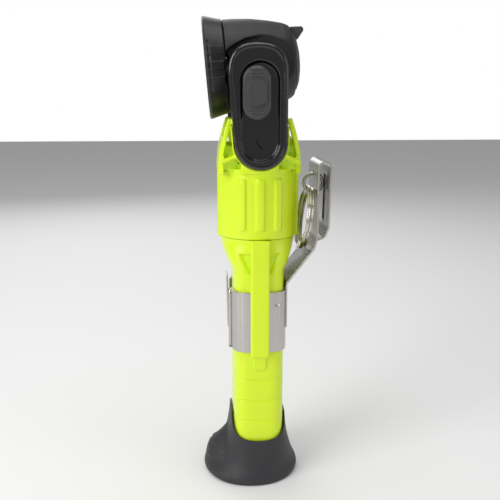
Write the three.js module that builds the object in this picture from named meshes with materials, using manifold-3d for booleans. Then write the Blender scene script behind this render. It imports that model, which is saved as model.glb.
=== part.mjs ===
// Right-angle firefighter flashlight with a tilting head, a slide switch and a steel belt clip.
// Millimetres, +Z up the barrel, origin at the middle of the foot's flat base, the beam leaves along -Y.
import * as THREE from 'three';
import { mergeVertices, mergeGeometries } from 'three/addons/utils/BufferGeometryUtils.js';
import Module from 'manifold-3d';

const wasm = await Module();
wasm.setup();

// ---------- driving dimensions ----------
const GAP = 0.3; // between faces that touch
const BARREL = { x: 39, y: 26.6, corner: 8, bottom: 4, top: 115 };
const BORE = { x: 34, y: 20.4, corner: 6, floor: 6.5 };
const NECK = { radius: 19.4, spigot: 17.4, bore: 14.5, shoulder: 131, top: 157 };
const COLLAR = { radius: 20.4, bottom: 131.4, roof: 163, top: 166.5 };
const STRAP = { width: 10, out: 22.5, bottom: 62, step: 70 };
const BAND = { bottom: 72.5, top: 104.5, sheet: 0.9 };
const CLIP_WIDTH = 30;
const FOOT = { rim: 34.5, base: 5, front: -28.4, back: 21.6, half: 26.2 };
const CELL = { diameter: 14.5, length: 50, pitch: 15.6, bottom: 14 };
const PIVOT = { y: -1.8, z: 211.5 };
const BEAM_DROP = 4.7; // degrees below level at rest
const BEAM_HEIGHT = 5.4; // beam axis above the pivot
const ARM = { inside: 23.5, outside: 29.3, halfTop: 14.1, halfBottom: 12.6, bottomZ: 179.4, bottomY: -0.3 };
const TRACK = { half: 9, top: 217.2, bottom: 171.2, y: -0.9, depth: 2.4 };
const SLIDER = { half: 6.8, height: 25.3, y: -2.4, z: 203 };
const CHEEK = 16.5;
const HUB = 21.6;

// ---------- helpers ----------
const V = (x, y) => new THREE.Vector2(x, y);
const matrix = (x, y, z, rx = 0, ry = 0, rz = 0) => new THREE.Matrix4().compose(
  new THREE.Vector3(x, y, z), new THREE.Quaternion().setFromEuler(new THREE.Euler(rx, ry, rz)), new THREE.Vector3(1, 1, 1));

// A closed three.js geometry as a manifold solid.
function solid(geometry, place = new THREE.Matrix4()) {
  const bare = new THREE.BufferGeometry().setAttribute('position', geometry.toNonIndexed
    && geometry.index ? geometry.toNonIndexed().getAttribute('position') : geometry.getAttribute('position'));
  const merged = mergeVertices(bare.applyMatrix4(place), 1e-4);
  const faces = [];
  for (let i = 0; i < merged.index.count; i += 3) {
    const [a, b, c] = [0, 1, 2].map((k) => merged.index.getX(i + k));
    if (a !== b && b !== c && a !== c) faces.push(a, b, c);
  }
  return new wasm.Manifold(new wasm.Mesh({
    numProp: 3, vertProperties: merged.attributes.position.array, triVerts: new Uint32Array(faces) }));
}

// A manifold solid as a three.js geometry.
function geometryOf(made) {
  const mesh = made.getMesh();
  const geometry = new THREE.BufferGeometry();
  geometry.setAttribute('position', new THREE.BufferAttribute(new Float32Array(mesh.vertProperties), 3));
  geometry.setIndex(new THREE.BufferAttribute(new Uint32Array(mesh.triVerts), 1));
  geometry.computeVertexNormals();
  return geometry;
}

// A level prism of a shape, from z0 to z1.
const prism = (shape, z0, z1, curveSegments = 8) => solid(new THREE.ExtrudeGeometry(
  shape, { depth: z1 - z0, bevelEnabled: false, curveSegments }), matrix(0, 0, z0));

// A prism along X of a shape drawn in Y (right) and Z (up).
function sidePrism(shape, x0, x1, curveSegments = 10) {
  const turn = new THREE.Matrix4().makeBasis(
    new THREE.Vector3(0, 1, 0), new THREE.Vector3(0, 0, 1), new THREE.Vector3(1, 0, 0));
  return solid(new THREE.ExtrudeGeometry(
    shape, { depth: x1 - x0, bevelEnabled: false, curveSegments }), turn.premultiply(matrix(x0, 0, 0)));
}

const box = (x0, x1, y0, y1, z0, z1) => solid(
  new THREE.BoxGeometry(x1 - x0, y1 - y0, z1 - z0), matrix((x0 + x1) / 2, (y0 + y1) / 2, (z0 + z1) / 2));

// A body of revolution about +Z: pairs of radius and height, anticlockwise when radius is to the right.
function turned(profile, segments = 32) {
  const points = profile.map(([r, z]) => V(r, z));
  if (profile[0][0] > 0) points.push(points[0].clone());
  return solid(new THREE.LatheGeometry(points, segments), matrix(0, 0, 0, Math.PI / 2));
}

const disc = (radius, z0, z1, segments = 32) => turned([[0, z0], [radius, z0], [radius, z1], [0, z1]], segments);
const ring = (inner, outer, z0, z1, segments = 32) => turned(
  [[inner, z0], [outer, z0], [outer, z1], [inner, z1]], segments);

function roundedRect(width, height, corner) {
  const [w, h, r] = [width / 2, height / 2, corner];
  const shape = new THREE.Shape();
  shape.moveTo(-w + r, -h);
  shape.absarc(w - r, -h + r, r, -Math.PI / 2, 0);
  shape.absarc(w - r, h - r, r, 0, Math.PI / 2);
  shape.absarc(-w + r, h - r, r, Math.PI / 2, Math.PI);
  shape.absarc(-w + r, -h + r, r, Math.PI, Math.PI * 1.5);
  return shape;
}

// A skin over level rings: each ring has a centre y, half widths, a height and a squareness power.
function loft(rings, count = 40) {
  const positions = [];
  const index = [];
  for (const { y, hx, hy, z, power } of rings) {
    for (let k = 0; k < count; k += 1) {
      const [c, s] = [Math.cos(2 * Math.PI * k / count), Math.sin(2 * Math.PI * k / count)];
      positions.push(hx * Math.sign(c) * Math.abs(c) ** (2 / power), y + hy * Math.sign(s) * Math.abs(s) ** (2 / power), z);
    }
  }
  const last = rings.length - 1;
  for (let r = 0; r < last; r += 1) {
    for (let k = 0; k < count; k += 1) {
      const [a, b] = [r * count + k, r * count + (k + 1) % count];
      index.push(a, b, b + count, a, b + count, a + count);
    }
  }
  for (let k = 1; k < count - 1; k += 1) {
    index.push(0, k + 1, k, last * count, last * count + k, last * count + k + 1);
  }
  const geometry = new THREE.BufferGeometry();
  geometry.setAttribute('position', new THREE.Float32BufferAttribute(positions, 3));
  geometry.setIndex(index);
  return solid(geometry);
}

// Sheet metal: a bent strip in the YZ plane, along X from -width/2 to width/2.
function strip(points, thickness, width) {
  const side = (sign) => points.map((p, k) => {
    const before = points[Math.max(k - 1, 0)];
    const after = points[Math.min(k + 1, points.length - 1)];
    const t = after.clone().sub(before).normalize();
    return V(p.x - sign * t.y * thickness / 2, p.y + sign * t.x * thickness / 2);
  });
  return sidePrism(new THREE.Shape([...side(-1), ...side(1).reverse()]), -width / 2, width / 2);
}

// A round bar along a helix about +Z, wide at the bottom when the radii differ.
function coil(bottomRadius, topRadius, height, turns, wire) {
  const points = [];
  for (let k = 0; k <= turns * 10; k += 1) {
    const t = k / (turns * 10);
    const r = bottomRadius + (topRadius - bottomRadius) * t;
    points.push(new THREE.Vector3(r * Math.cos(t * turns * 2 * Math.PI), r * Math.sin(t * turns * 2 * Math.PI), height * t));
  }
  const section = new THREE.Shape().absarc(0, 0, wire / 2, 0, 2 * Math.PI);
  return solid(new THREE.ExtrudeGeometry(section, { steps: turns * 10, curveSegments: 3, bevelEnabled: false,
    extrudePath: new THREE.CatmullRomCurve3(points) }));
}

const about = (made, place) => made.transform(place.elements);
const mirrored = (made) => made.mirror([1, 0, 0]);

// ---------- materials ----------
const material = (color, roughness, metalness = 0) => () => new THREE.MeshStandardMaterial({ color, roughness, metalness });
const YELLOW = material('#dcf52a', 0.35);
const BLACK = material('#141415', 0.3);
const SATIN = material('#1d1e20', 0.55);
const GREY = material('#3e3f42', 0.55);
const RUBBER = material('#37393b', 0.8);
const STEEL = material('#b9b6b0', 0.28, 1);
const BRASS = material('#c9a24c', 0.35, 1);
const CLEAR = material('#dfe8ea', 0.05);
const BOARD = material('#1f5a35', 0.5);
const CELL_WRAP = material('#7d8288', 0.4, 0.4);

const group = new THREE.Group();
function add(name, made, paint, parent = group) {
  const mesh = new THREE.Mesh(geometryOf(made), paint());
  mesh.name = name;
  parent.add(mesh);
}

// ---------- barrel ----------
const outline = (grow, height = 0) => roundedRect(BARREL.x + 2 * grow, BARREL.y + 2 * grow + height, BARREL.corner + grow);

function makeBarrel() {
  const [hx, hy] = [BARREL.x / 2, BARREL.y / 2];
  const neck = loft([
    { y: 0, hx: hx - 0.2, hy: hy - 0.2, z: BARREL.top - 3, power: 4.4 },
    { y: 0, hx, hy: hy + 0.5, z: BARREL.top + 1, power: 4 },
    { y: 0, hx: NECK.radius, hy: NECK.radius - 0.9, z: NECK.shoulder - 3, power: 2.2 },
    { y: 0, hx: NECK.radius, hy: NECK.radius, z: NECK.shoulder, power: 2 }]);
  let made = prism(outline(0), BARREL.bottom, BARREL.top).add(neck)
    .add(disc(NECK.spigot, NECK.shoulder - 1, NECK.top, 36));
  for (const side of [-1, 1]) {
    const [a, b] = [side * (hx - 1), side * STRAP.out].sort((p, q) => p - q);
    const slot = [side * hx, side * (hx + BAND.sheet + 2 * GAP)].sort((p, q) => p - q);
    made = made.add(box(a, b, -STRAP.width / 2, STRAP.width / 2, STRAP.step, NECK.shoulder))
      .add(box(a - (side < 0 ? -1 : 0), b - (side > 0 ? 1.2 : -0.2), -3.6, 3.6, STRAP.bottom, STRAP.step + 1))
      .subtract(box(slot[0], slot[1], -STRAP.width, STRAP.width, BAND.bottom - GAP, BAND.top + GAP));
  }
  return made.subtract(prism(roundedRect(BORE.x, BORE.y, BORE.corner), BORE.floor, BARREL.top + 2))
    .subtract(disc(NECK.bore, BARREL.top + 1, NECK.top + 1, 28))
    .subtract(ring(NECK.spigot - 1.2, NECK.spigot + 1, 149, 151.4, 36));
}

// ---------- rubber foot ----------
function makeFoot() {
  const mid = (FOOT.front + FOOT.back) / 2;
  const reach = (FOOT.back - FOOT.front) / 2;
  const boot = loft([
    { y: mid, hx: FOOT.half - 0.6, hy: reach - 0.6, z: 0, power: 2.1 },
    { y: mid, hx: FOOT.half, hy: reach, z: 1.2, power: 2.1 },
    { y: mid + 0.3, hx: FOOT.half - 0.4, hy: reach - 1.2, z: FOOT.base, power: 2.1 },
    { y: -0.9, hx: 23.6, hy: 19.9, z: 11, power: 2.4 },
    { y: -0.3, hx: 21.9, hy: 17.2, z: 19, power: 2.9 },
    { y: -0.1, hx: 21.2, hy: 15.2, z: 27, power: 3.5 },
    { y: 0, hx: 21, hy: 14.5, z: FOOT.rim, power: 4.4 }]);
  const toe = loft([
    { y: -14, hx: 15, hy: 14.2, z: 0.6, power: 2.3 },
    { y: -14.1, hx: 14.6, hy: 14.2, z: 8, power: 2.3 },
    { y: -13.5, hx: 12.6, hy: 13.2, z: 13, power: 2.3 },
    { y: -12, hx: 9, hy: 9, z: 18.5, power: 2.2 },
    { y: -11, hx: 6, hy: 6.4, z: 22.5, power: 2 }]);
  const dip = new THREE.Shape().absellipse(0, FOOT.rim + 1, BARREL.y / 2 - 0.2, 12.8, 0, 2 * Math.PI);
  return boot.add(toe).subtract(sidePrism(dip, -30, 30, 14))
    .subtract(prism(outline(GAP), BARREL.bottom - GAP, FOOT.rim + 2));
}

// ---------- belt clip: band round the barrel, slanted arm, folded plate, outer leg ----------
const PLATE_Y = 29.6;
const LEG_Y = 35.8;
const FOLD_Z = 166.3;
const JUMP = { y: 29.2, z: 157.6, radius: 4.9, wire: 1.7 };

function makeClip() {
  const band = prism(outline(GAP + BAND.sheet), BAND.bottom, BAND.top)
    .subtract(prism(outline(GAP), BAND.bottom - 1, BAND.top + 1))
    .subtract(box(-3, 11, -20, 0, BAND.bottom - 1, BAND.top + 1));
  const back = BARREL.y / 2 + GAP + BAND.sheet / 2;
  const fold = [];
  for (let k = 0; k <= 8; k += 1) {
    const turn = Math.PI * (1 - k / 8);
    fold.push(V((PLATE_Y + LEG_Y) / 2 + (LEG_Y - PLATE_Y) / 2 * Math.cos(turn), FOLD_Z + (LEG_Y - PLATE_Y) / 2 * Math.sin(turn)));
  }
  const bent = strip([V(back, BAND.bottom + 12), V(back, 106.5), V(back + 0.4, 107.6), V(26.8, 124), V(28.6, 127.2), V(PLATE_Y, 131),
    ...fold, V(35.3, 137), V(34.8, 133.5), V(33.2, 131), V(30.6, 129.6)], BAND.sheet, CLIP_WIDTH);
  const front = box(-13, -2, -BARREL.y / 2 - GAP - 2 * BAND.sheet, -BARREL.y / 2 - GAP - BAND.sheet + 0.2, 79, 107.5);
  let made = band.add(bent).add(front);
  for (const turn of [-1, 1]) {
    made = made.subtract(sidePrism(new THREE.Shape().absarc(PLATE_Y, JUMP.z + turn * 4.9, 1.9, 0, 2 * Math.PI), -1.7, 1.7, 6));
  }
  return made;
}

function wireRing(radius, wire, segments = 32) {
  const section = [];
  for (let k = 0; k < 8; k += 1) {
    section.push([radius + wire / 2 * Math.cos(k * Math.PI / 4), wire / 2 * Math.sin(k * Math.PI / 4)]);
  }
  return turned(section, segments);
}

// A split ring hangs from its top, its plane facing Y and leaning in towards the collar.
const RING_LEAN = THREE.MathUtils.degToRad(8);
function hungRing(topY, topZ, radius, wire) {
  const face = about(wireRing(radius, wire, 36), matrix(0, 0, 0, Math.PI / 2));
  return about(face.translate([0, 0, -radius]), matrix(0, topY, topZ, -RING_LEAN));
}

// ---------- battery cassette and cells ----------
function makeCassette() {
  const shell = prism(roundedRect(BORE.x - 2 * GAP, BORE.y - 2 * GAP, BORE.corner - GAP), 8, 113);
  const wells = [-1, 1].map((side) => about(disc(CELL.diameter / 2 + GAP, 9.5, 114, 24), matrix(side * CELL.pitch / 2, 0, 0)));
  const windows = [-1, 1].map((side) => box(side * CELL.pitch / 2 - 4, side * CELL.pitch / 2 + 4, 0, 12, 22, 104));
  const seat = box(-12.3, 12.3, -4.3, 4.3, 9.5, 10.7);
  return [...wells, ...windows, seat].reduce((made, cut) => made.subtract(cut), shell);
}

const cell = (x, z, up) => about(turned([[0, 0], [CELL.diameter / 2, 0], [CELL.diameter / 2, CELL.length - 1.5],
  [2.7, CELL.length - 1.5], [2.7, CELL.length], [0, CELL.length]], 20), up ? matrix(x, 0, z) : matrix(x, 0, z + CELL.length, Math.PI));

// ---------- yoke: collar, ears, cradles ----------
function armOutline(shrink = 0) {
  const [top, bottom] = [ARM.halfTop - shrink, ARM.halfBottom - shrink];
  const corner = 11 - shrink;
  const shape = new THREE.Shape();
  shape.moveTo(ARM.bottomY - bottom, ARM.bottomZ);
  shape.absarc(ARM.bottomY, ARM.bottomZ, bottom, Math.PI, 2 * Math.PI);
  shape.absarc(PIVOT.y + top - corner, PIVOT.z + 14 - 11, corner, 0, Math.PI / 2);
  shape.absarc(PIVOT.y - top + corner, PIVOT.z + 14 - 11, corner, Math.PI / 2, Math.PI);
  return shape;
}

function makeYoke() {
  let made = ring(NECK.spigot + GAP, COLLAR.radius, COLLAR.bottom, COLLAR.roof + 1, 48)
    .add(ring(8, COLLAR.radius, COLLAR.roof, COLLAR.top, 48));
  for (const side of [0, Math.PI]) {
    for (const turn of [-26, 0, 26]) {
      const bar = box(COLLAR.radius - 0.6, COLLAR.radius + 0.9, -1.8, 1.8, 136, 161.5);
      made = made.add(about(bar, matrix(0, 0, 0, 0, 0, side + THREE.MathUtils.degToRad(turn))));
    }
  }
  for (const end of [-1, 1]) {
    // ear: an upright wall that leans in as it rises, cut in the middle so that the head can tip
    const ear = new THREE.Shape([V(20.6, COLLAR.bottom), V(20.6, 168), V(20, 175), V(18.6, 181), V(17, 186.5), V(15.5, 191),
      V(13.2, 190.8), V(14.6, 186), V(16.2, 180.6), V(17.6, 174.6), V(18, 168), V(18, COLLAR.bottom)].map((p) => V(p.x * end, p.y)));
    const wall = sidePrism(ear, -18.6, 18.6)
      .intersect(disc(25.5, COLLAR.bottom, 200, 40))
      .subtract(box(-13.5, 13.5, -30, 30, 181, 200))
      .subtract(box(7, 30, -30, 30, COLLAR.bottom - 1, 164))
      .subtract(box(-30, -7, -30, 30, COLLAR.bottom - 1, 164));
    made = made.add(wall.subtract(disc(NECK.spigot + GAP, COLLAR.bottom - 1, 160, 48)));
    for (const side of [-1, 1]) {
      const [a, b] = [side * 13.6, side * 21.2].sort((p, q) => p - q);
      const gusset = new THREE.Shape([V(19 * end, 169), V(19 * end, 171), V(9 * end, 175.5), V(9 * end, 173.5)]);
      made = made.add(sidePrism(gusset, a, b));
      const top = new THREE.Shape([V(10 * end, 166), V(19.5 * end, 166), V(17.5 * end, 178), V(11.5 * end, 178)]);
      made = made.add(sidePrism(top, Math.min(side * 13.6, side * 14.8), Math.max(side * 13.6, side * 14.8)));
    }
  }
  for (const side of [-1, 1]) {
    // cradle: an upright wall inside the arm's lower half, with a foot on the collar's roof
    const wall = sidePrism(armOutline(0.4), Math.min(side * 18.4, side * 21.6), Math.max(side * 18.4, side * 21.6))
      .subtract(box(-30, 30, -30, 30, 190.6, 240));
    const foot = box(Math.min(side * 12, side * 21.6), Math.max(side * 12, side * 21.6), -9.5, 9, COLLAR.top - 2, 169.5);
    const lip = sidePrism(armOutline(-1.1), Math.min(side * 20.4, side * 25.6), Math.max(side * 20.4, side * 25.6))
      .subtract(box(-30, 30, -30, 30, 187.5, 240))
      .subtract(sidePrism(armOutline(-GAP), Math.min(side * 21.7, side * 30), Math.max(side * 21.7, side * 30)));
    made = made.add(wall).add(foot).add(lip);
  }
  for (const side of [-1, 1]) {
    for (const z of [176, 185.5]) {
      made = made.subtract(about(disc(1.6, 15, 30, 12), matrix(0, ARM.bottomY, z, 0, side * Math.PI / 2)));
    }
  }
  return made;
}

// ---------- arms ----------
function stadium(y, half, bottom, top) {
  const shape = new THREE.Shape();
  shape.absarc(y, bottom + half, half, Math.PI, 2 * Math.PI);
  shape.absarc(y, top - half, half, 0, Math.PI);
  return shape;
}

function makeArm() {
  const pocket = stadium(-1.6, 7, 190.5, 205.5);
  let made = sidePrism(armOutline(), ARM.inside, ARM.outside, 12)
    .subtract(sidePrism(stadium(TRACK.y, TRACK.half, TRACK.bottom, TRACK.top), ARM.outside - TRACK.depth, ARM.outside + 1, 10))
    .subtract(sidePrism(pocket, ARM.inside - 1, ARM.outside - TRACK.depth - 1, 8));
  for (const z of [176, 185.5]) {
    made = made.subtract(about(disc(1.6, 15, 26, 12), matrix(0, ARM.bottomY, z, 0, Math.PI / 2)));
  }
  return made.subtract(about(disc(4.3, 20, 26, 20), matrix(0, PIVOT.y, PIVOT.z, 0, Math.PI / 2)));
}

// A thin plate that closes the inner face of an arm above its cradle.
const makeLiner = () => sidePrism(armOutline(1.8), ARM.inside - 1.4, ARM.inside - GAP, 8)
  .subtract(box(0, 30, -30, 30, 160, 191))
  .subtract(about(disc(4.3, 20, 26, 20), matrix(0, PIVOT.y, PIVOT.z, 0, Math.PI / 2)));

function makeSlider() {
  const [z0, z1] = [SLIDER.z - SLIDER.height / 2, SLIDER.z + SLIDER.height / 2];
  const floor = ARM.outside - TRACK.depth + GAP;
  let made = sidePrism(stadium(SLIDER.y, SLIDER.half, z0, z1), floor, floor + 4, 8)
    .add(about(disc(6.2, floor + 3.5, floor + 4.9, 24), matrix(0, SLIDER.y, SLIDER.z, 0, Math.PI / 2)));
  for (const z of [z1 - 3.2, z1 - 5.6, z0 + 3.2, z0 + 5.6]) {
    made = made.add(box(floor + 3.8, floor + 4.6, SLIDER.y - 3.2, SLIDER.y + 3.2, z - 0.5, z + 0.5));
  }
  return made.subtract(box(floor - 1, floor + 1.8, SLIDER.y - 2.3, SLIDER.y + 2.3, SLIDER.z - 4.3, SLIDER.z + 4.3));
}

const makeScrew = () => turned([[0, 0], [2.6, 0], [2.6, 1.4], [1.3, 1.6], [1.3, 9], [0, 9]], 14);

// ---------- head, drawn about the beam axis with +Z towards the light ----------
const head = {
  lens: 21.5, gasket: 19.2, spigot: 18.6, face: 23.6, skirt: 14.3, rear: 19.5,
};

function makeHousing() {
  const outer = turned([[0, -head.rear], [16.3, -head.rear], [17.6, -18.2], [18.8, -15.5], [20.5, -8], [21.8, 0],
    [22.4, 8], [22.5, 14], [20.7, 14], [20.7, head.spigot], [0, head.spigot]], 48);
  // below the hood the two cheeks are flat
  const hoodLine = new THREE.Shape([V(-14.1, -26), V(-14.1, 6), V(-10.5, 8.6), V(-4, 11.4), V(3.3, 12.5), V(25, 12.4), V(25, -26)]);
  let made = outer;
  for (const side of [-1, 1]) {
    const [a, b] = [side * CHEEK, side * 30].sort((p, q) => p - q);
    made = made.subtract(headSide(hoodLine, a, b));
    const hub = about(disc(10, CHEEK - 2, HUB, 32), matrix(0, -BEAM_HEIGHT, 0, 0, side * Math.PI / 2));
    made = made.add(hub);
  }
  made = made.subtract(turned([[0, -14], [13.5, -14], [14.2, -9], [14.2, 4], [15.3, 9], [18, 15], [18.2, 30], [0, 30]], 36))
    .subtract(disc(12.6, -30, -13, 32));
  for (const side of [-1, 1]) {
    made = made.subtract(about(disc(4.3, 10, 30, 20), matrix(0, -BEAM_HEIGHT, 0, 0, side * Math.PI / 2)));
  }
  return made.subtract(about(disc(2.1, 16.2, 30, 14), matrix(0, -BEAM_HEIGHT - 7.6, 0, 0, Math.PI / 2)));
}

// A prism along X in the head's frame, from a shape in distance behind the pivot and height above the beam axis.
function headSide(shape, x0, x1) {
  const turn = new THREE.Matrix4().makeBasis(
    new THREE.Vector3(0, 0, -1), new THREE.Vector3(0, 1, 0), new THREE.Vector3(1, 0, 0));
  return solid(new THREE.ExtrudeGeometry(shape, { depth: x1 - x0, bevelEnabled: false, curveSegments: 8 }),
    turn.premultiply(matrix(x0, 0, 0)));
}

function makeBezel() {
  let made = turned([[20.9, head.skirt], [22.9, head.skirt], [24.8, 22.6], [24.2, head.face], [19.8, head.face],
    [19.8, head.lens + GAP], [20.9, head.lens + GAP]], 48);
  for (const side of [0, Math.PI]) {
    for (const turn of [-34, -12, 12, 34]) {
      const notch = box(24, 27, -1.6, 1.6, 21.6, 25);
      made = made.subtract(about(notch, matrix(0, 0, 0, 0, 0, side + THREE.MathUtils.degToRad(turn))));
    }
  }
  return made;
}

const makeReflector = () => turned([[4.2, 1.8], [5.6, 1.8], [10.6, 5.6], [14, 10.6], [16.2, 15.4], [17.6, head.spigot - GAP - 0.2],
  [16.4, head.spigot - GAP - 0.2], [15.1, 15.6], [12.9, 11.2], [9.6, 6.6], [4.2, 3]], 32);

function makeRearCap() {
  const dome = turned([[0, -22.9], [6, -22.7], [11, -21.8], [14.2, -20.4], [14.4, -19.8], [12.3, -19.8], [12.3, -15], [0, -15]], 36);
  const tab = new THREE.Shape([V(19.9, 9.5), V(22.7, 10), V(25.4, 13), V(26, 14.4), V(25.2, 16.1), V(19.9, 16.2)]);
  return dome.add(headSide(tab, -4.5, 4.5).add(box(-4.5, 4.5, 9, 16, -20.6, -19.8)));
}

// ---------- assembly ----------
add('barrel', makeBarrel(), YELLOW);
add('neck_seal', ring(NECK.spigot - 0.9, NECK.spigot + 0.1, 149.4, 151, 36), RUBBER);
add('rubber_foot', makeFoot(), RUBBER);
add('belt_clip', makeClip(), STEEL);
add('jump_ring', about(about(wireRing(JUMP.radius, JUMP.wire, 24), matrix(0, 0, 0, 0, Math.PI / 2)),
  matrix(0, JUMP.y, JUMP.z)), STEEL);
add('split_ring_outer', hungRing(28.0, 154.9, 15.6, 1.4), STEEL);
add('split_ring_inner', hungRing(26.4, 156.0, 16.6, 1.4), STEEL);
add('battery_cassette', makeCassette(), BLACK);
for (const [k, [side, level]] of [[-1, 0], [1, 0], [-1, 1], [1, 1]].entries()) {
  add(`cell_${k + 1}`, cell(side * CELL.pitch / 2, CELL.bottom + level * (CELL.length + GAP), side > 0), CELL_WRAP);
}
for (const [name, side] of [['contact_spring_left', -1], ['contact_spring_right', 1]]) {
  add(name, about(coil(4.6, 2.6, 2.3, 3, 0.7), matrix(side * CELL.pitch / 2, 0, 11.1)), STEEL);
}
add('contact_plate', box(-12, 12, -4, 4, 9.8, 10.4), BRASS);
add('contact_bridge', box(-12, 12, -3.5, 3.5, 114.7, 115.3), BRASS);
add('contact_board', disc(13.8, 116, 117.6, 28), BOARD);

add('yoke', makeYoke(), YELLOW);
add('arm_right', makeArm(), BLACK);
add('arm_left', mirrored(makeArm()), BLACK);
add('arm_liner_right', makeLiner(), SATIN);
add('arm_liner_left', mirrored(makeLiner()), SATIN);
for (const [name, side] of [['right', 1], ['left', -1]]) {
  for (const [place, z] of [['lower', 176], ['upper', 185.5]]) {
    add(`arm_screw_${name}_${place}`, about(makeScrew(), matrix(side * 16.6, ARM.bottomY, z, 0, side * Math.PI / 2)), STEEL);
  }
  const pin = ring(1.9, 4, 18.3, 25.6, 20);
  add(`pivot_pin_${name}`, about(pin, matrix(0, PIVOT.y, PIVOT.z, 0, side * Math.PI / 2)), STEEL);
}
add('switch_slider', makeSlider(), GREY);
add('slider_magnet', box(27.3, 28.7, SLIDER.y - 2, SLIDER.y + 2, SLIDER.z - 4, SLIDER.z + 4), STEEL);
add('switch_board', box(23.9, 24.9, -6, 2.6, 192.5, 203.5), BOARD);

const tilting = new THREE.Group();
tilting.position.set(0, PIVOT.y, PIVOT.z);
tilting.rotation.x = Math.PI / 2 + THREE.MathUtils.degToRad(BEAM_DROP);
const beam = new THREE.Group();
beam.position.y = BEAM_HEIGHT;
tilting.add(beam);
group.add(tilting);

add('head_housing', makeHousing(), SATIN, beam);
add('bezel', makeBezel(), BLACK, beam);
add('lens', disc(20.5, head.gasket + GAP, head.lens, 40), CLEAR, beam);
add('lens_gasket', ring(18.8, 20.4, head.spigot + 0.1, head.gasket, 40), RUBBER, beam);
add('reflector', makeReflector(), STEEL, beam);
add('led', turned([[0, -0.4], [2.6, -0.4], [2.6, 0.2], [1.7, 1.5], [0, 1.9]], 16), CLEAR, beam);
add('led_board', disc(9.5, -2.3, -0.7, 28), BOARD, beam);
add('heat_sink', ring(2.5, 13.6, -7.5, -2.6, 32), GREY, beam);
add('driver_board', disc(11.5, -11, -9.4, 28), BOARD, beam);
add('rear_cap', makeRearCap(), GREY, beam);
add('detent_spring', about(coil(1.1, 1.1, 1.8, 3, 0.5), matrix(16.6, -BEAM_HEIGHT - 7.6, 0, 0, Math.PI / 2)), STEEL, beam);
add('detent_ball', solid(new THREE.SphereGeometry(1.5, 12, 8), matrix(20.4, -BEAM_HEIGHT - 7.6, 0)), STEEL, beam);

export default group;
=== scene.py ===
import math
import bpy
import numpy as np
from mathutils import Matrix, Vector


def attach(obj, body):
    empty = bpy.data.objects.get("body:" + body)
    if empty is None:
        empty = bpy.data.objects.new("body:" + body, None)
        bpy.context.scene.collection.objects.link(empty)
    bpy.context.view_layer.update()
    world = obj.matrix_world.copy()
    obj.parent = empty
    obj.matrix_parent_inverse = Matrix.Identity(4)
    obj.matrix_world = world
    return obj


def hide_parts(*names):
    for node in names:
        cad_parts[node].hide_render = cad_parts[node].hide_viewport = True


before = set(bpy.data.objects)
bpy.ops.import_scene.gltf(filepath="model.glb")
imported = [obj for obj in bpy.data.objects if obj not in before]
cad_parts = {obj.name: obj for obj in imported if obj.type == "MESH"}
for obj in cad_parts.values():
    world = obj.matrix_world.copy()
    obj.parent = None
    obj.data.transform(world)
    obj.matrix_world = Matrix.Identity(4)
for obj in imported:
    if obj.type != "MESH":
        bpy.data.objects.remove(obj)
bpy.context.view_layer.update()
MM = 0.001

# ---------- viewpoint, floor and light ----------
# The light stands on a plain pale floor. The camera looks down on it slightly from the switch side, and a
# little from the front. Soft boxes on both sides and overhead give long highlights on the glossy arms.
camera_data = bpy.data.cameras.new("camera")
camera_data.sensor_width = 36.0
camera_data.lens = 50.4
camera = bpy.data.objects.new("camera", camera_data)
bpy.context.scene.collection.objects.link(camera)
camera.location = (0.3601, -0.0289, 0.2009)
PITCH, YAW = math.radians(12.3), math.radians(4.0)
line_of_sight = Vector((-math.cos(PITCH) * math.cos(YAW), math.cos(PITCH) * math.sin(YAW), -math.sin(PITCH)))
camera.rotation_euler = line_of_sight.to_track_quat("-Z", "Y").to_euler()
bpy.context.scene.camera = camera


def soft_box(name, place, target, size, power):
    """A square area light at place, turned to face target."""
    data = bpy.data.lights.new(name, "AREA")
    data.shape = "SQUARE"
    data.size = size
    data.energy = power
    lamp = bpy.data.objects.new(name, data)
    lamp.location = place
    lamp.rotation_euler = (Vector(target) - Vector(place)).to_track_quat("-Z", "Y").to_euler()
    bpy.context.scene.collection.objects.link(lamp)


middle = (0, 0, 0.13)
soft_box("light_front_left", (0.55, -0.75, 0.55), middle, 0.6, 5.5)
soft_box("light_right", (0.45, 0.85, 0.35), middle, 0.5, 1.0)
soft_box("light_top", (0.1, 0, 1.0), middle, 0.8, 3.4)
soft_box("light_back", (-0.8, -0.2, 0.6), middle, 0.6, 2.0)
FILL_LIGHT = 0.32
BACKDROP_LIGHT = 1.0
world = bpy.data.worlds.new("studio")
world.use_nodes = True
world.node_tree.nodes["Background"].inputs["Color"].default_value = (1, 1, 1, 1)
world.node_tree.nodes["Background"].inputs["Strength"].default_value = FILL_LIGHT
# the camera sees a white backdrop, while the light it gives stays low so that the blacks stay black
backdrop = world.node_tree.nodes.new("ShaderNodeBackground")
backdrop.inputs["Color"].default_value = (1, 1, 1, 1)
backdrop.inputs["Strength"].default_value = BACKDROP_LIGHT
seen = world.node_tree.nodes.new("ShaderNodeLightPath")
split = world.node_tree.nodes.new("ShaderNodeMixShader")
world.node_tree.links.new(seen.outputs["Is Camera Ray"], split.inputs[0])
world.node_tree.links.new(world.node_tree.nodes["Background"].outputs[0], split.inputs[1])
world.node_tree.links.new(backdrop.outputs[0], split.inputs[2])
world.node_tree.links.new(split.outputs[0], world.node_tree.nodes["World Output"].inputs[0])
bpy.context.scene.world = world
bpy.context.scene.view_settings.view_transform = "Standard"


def mesh_object(name, points, faces, smooth=True):
    """A mesh object at the origin from vertex positions in metres and quads or triangles."""
    mesh = bpy.data.meshes.new(name)
    mesh.from_pydata(points.reshape(-1, 3).tolist(), [], faces.tolist())
    mesh.update()
    mesh.polygons.foreach_set("use_smooth", np.full(len(mesh.polygons), smooth))
    shape = bpy.data.objects.new(name, mesh)
    bpy.context.scene.collection.objects.link(shape)
    return shape


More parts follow.
